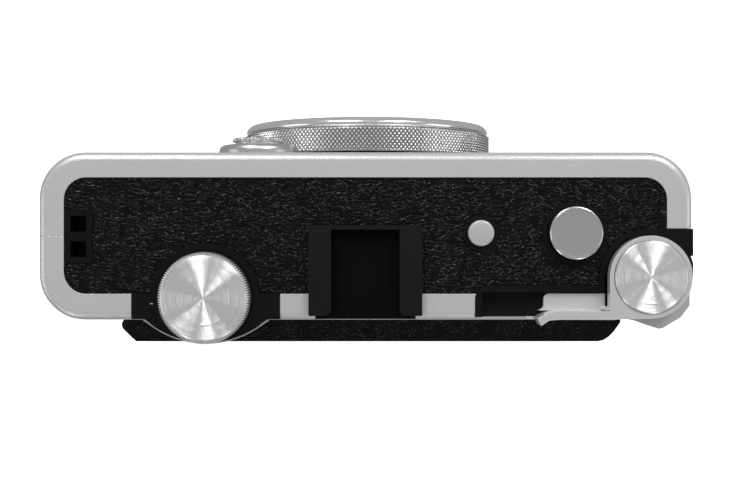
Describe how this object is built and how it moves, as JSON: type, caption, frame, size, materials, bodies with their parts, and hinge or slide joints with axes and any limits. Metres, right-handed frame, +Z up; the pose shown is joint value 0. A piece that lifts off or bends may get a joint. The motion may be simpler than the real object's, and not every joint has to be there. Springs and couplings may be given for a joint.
{
  "type": "rangefinder camera",
  "caption": "Compact rangefinder-style camera with a knurled lens ring, film dial, print lever, accessory shoe and hinged film door.",
  "frame": {"origin": "centre of the tripod socket's mouth, on the base plane", "axes": "+Z up, -Y the way the lens looks, +X along the body's width"},
  "size_m": [0.1234, 0.0472, 0.0907],
  "materials": {
    "silver_paint": "satin silver paint on moulded plastic",
    "black_leather": "coarse grained leatherette",
    "black_plastic": "matt black moulding",
    "black_metal": "black painted steel",
    "plated_plastic": "satin plated moulding",
    "spun_aluminium": "spun, with fine rings",
    "polished_metal": "polished",
    "steel": "plain bright steel",
    "clear_glass": "clear, dark behind",
    "camera_black": "matt black",
    "mirror_face": "plated convex face",
    "circuit_board": "green solder mask",
    "cell_wrap": "foil pouch",
    "roller_rubber": "ground rubber on steel",
    "gear_plastic": "natural acetal"
  },
  "bodies": {
    "root": {"front_shell": "silver_paint", "rear_shell": "silver_paint", "front_leather": "black_leather", "rear_leather": "black_leather", "top_deck": "black_plastic", "top_leather": "black_leather", "dial_base": "black_plastic", "lever_base": "black_plastic", "strap_anchor": "black_plastic", "accessory_shoe": "black_metal", "shoe_spring": "black_metal", "screws": "steel", "lens_barrel": "black_plastic", "front_rim": "spun_aluminium", "lens_window": "clear_glass", "camera_module": "camera_black", "power_collar": "silver_paint", "flash_window": "clear_glass", "flash_reflector": "steel", "flash_tube": "clear_glass", "selfie_mirror": "mirror_face", "film_chamber": "black_plastic", "roller_frame": "black_plastic", "print_head": "camera_black", "battery": "cell_wrap", "main_board": "circuit_board", "flash_capacitor": "camera_black", "top_board": "circuit_board", "motor": "steel", "film_exit_trim": "silver_paint", "tripod_socket": "steel", "port_board": "circuit_board", "hinge_leaf": "black_plastic", "hinge_pins": "steel", "lever_spring": "steel", "shutter_spring": "steel"},
    "lens_ring": {"lens_ring": "plated_plastic"},
    "film_dial": {"film_dial": "plated_plastic", "film_dial_cap": "spun_aluminium"},
    "power_dial": {"power_dial": "plated_plastic"},
    "print_lever": {"print_lever": "plated_plastic", "lever_cap": "spun_aluminium"},
    "shutter_button": {"shutter_button": "polished_metal"},
    "function_button": {"function_button": "plated_plastic"},
    "front_shutter_button": {"front_shutter_button": "plated_plastic"},
    "film_door": {"film_door": "black_plastic", "door_leather": "black_leather", "screen_panel": "black_plastic", "screen_glass": "clear_glass", "pressure_springs": "steel"},
    "door_latch": {"door_latch": "black_plastic"},
    "control_pad": {"control_pad": "plated_plastic"},
    "ok_button": {"ok_button": "plated_plastic"},
    "play_button": {"play_button": "plated_plastic"},
    "back_button": {"back_button": "plated_plastic"},
    "port_door": {"port_door": "black_plastic"},
    "front_roller": {"front_roller": "roller_rubber"},
    "rear_roller": {"rear_roller": "roller_rubber"},
    "idler_gear": {"idler_gear": "gear_plastic"},
    "motor_pinion": {"motor_pinion": "gear_plastic"}
  },
  "joints": [
    {"name": "lens_ring_turn", "type": "hinge", "parent": "root", "child": "lens_ring", "pos_m": [0, -0.01985, 0.042], "axis": [0, -1, 0], "continuous": true},
    {"name": "film_dial_turn", "type": "hinge", "parent": "root", "child": "film_dial", "pos_m": [0.02995, 0.01155, 0.088], "axis": [0, 0, 1], "continuous": true},
    {"name": "power_dial_turn", "type": "hinge", "parent": "root", "child": "power_dial", "pos_m": [0.0214, -0.0185, 0.073], "axis": [0, -1, 0], "range_deg": [0, 45]},
    {"name": "print_lever_swing", "type": "hinge", "parent": "root", "child": "print_lever", "pos_m": [-0.05285, 0.0076, 0.088], "axis": [0, 0, 1], "range_deg": [0, 60], "stiffness_Nm_per_rad": 0.03, "springref_deg": -22.92},
    {"name": "shutter_press", "type": "slide", "parent": "root", "child": "shutter_button", "axis": [0, 0, -1], "range_m": [0, 0.0012], "stiffness_N_per_m": 600, "springref_m": -0.001, "deforming": ["shutter_spring"]},
    {"name": "function_press", "type": "slide", "parent": "root", "child": "function_button", "axis": [0, 0, -1], "range_m": [0, 0.0006], "stiffness_N_per_m": 600, "springref_m": -0.0008},
    {"name": "front_shutter_press", "type": "slide", "parent": "root", "child": "front_shutter_button", "axis": [0, 1, 0], "range_m": [0, 0.0008], "stiffness_N_per_m": 600, "springref_m": -0.0008},
    {"name": "door_swing", "type": "hinge", "parent": "root", "child": "film_door", "pos_m": [0.0461, 0.0172, 0.042], "axis": [0, 0, -1], "range_deg": [0, 100]},
    {"name": "latch_slide", "type": "slide", "parent": "film_door", "child": "door_latch", "axis": [0, 0, 1], "range_m": [0, 0.003], "stiffness_N_per_m": 120, "springref_m": -0.002},
    {"name": "pad_press", "type": "slide", "parent": "film_door", "child": "control_pad", "axis": [0, -1, 0], "range_m": [0, 0.0004], "stiffness_N_per_m": 800, "springref_m": -0.0008},
    {"name": "ok_press", "type": "slide", "parent": "film_door", "child": "ok_button", "axis": [0, -1, 0], "range_m": [0, 0.0004], "stiffness_N_per_m": 800, "springref_m": -0.0008},
    {"name": "play_press", "type": "slide", "parent": "film_door", "child": "play_button", "axis": [0, -1, 0], "range_m": [0, 0.0004], "stiffness_N_per_m": 800, "springref_m": -0.0008},
    {"name": "back_press", "type": "slide", "parent": "film_door", "child": "back_button", "axis": [0, -1, 0], "range_m": [0, 0.0004], "stiffness_N_per_m": 800, "springref_m": -0.0008},
    {"name": "port_door_swing", "type": "hinge", "parent": "root", "child": "port_door", "pos_m": [-0.06105, 0.0067, 0.037], "axis": [0, 0, -1], "range_deg": [0, 100]},
    {"name": "front_roller_turn", "type": "hinge", "parent": "root", "child": "front_roller", "pos_m": [0.0504, -0.00625, 0.038], "axis": [0, 0, 1], "continuous": true},
    {"name": "rear_roller_turn", "type": "hinge", "parent": "root", "child": "rear_roller", "pos_m": [0.0504, -0.00095, 0.038], "axis": [0, 0, 1], "continuous": true},
    {"name": "idler_turn", "type": "hinge", "parent": "root", "child": "idler_gear", "pos_m": [0.04345, -0.00811, 0.0735], "axis": [0, 0, 1], "continuous": true},
    {"name": "pinion_turn", "type": "hinge", "parent": "root", "child": "motor_pinion", "pos_m": [0.03702, -0.00811, 0.0735], "axis": [0, 0, 1], "continuous": true}
  ],
  "couplings": [
    {"joint": "rear_roller_turn", "follows": "front_roller_turn", "ratio": -1},
    {"joint": "idler_turn", "follows": "front_roller_turn", "ratio": -0.58333},
    {"joint": "pinion_turn", "follows": "front_roller_turn", "ratio": 1.4}
  ]
}
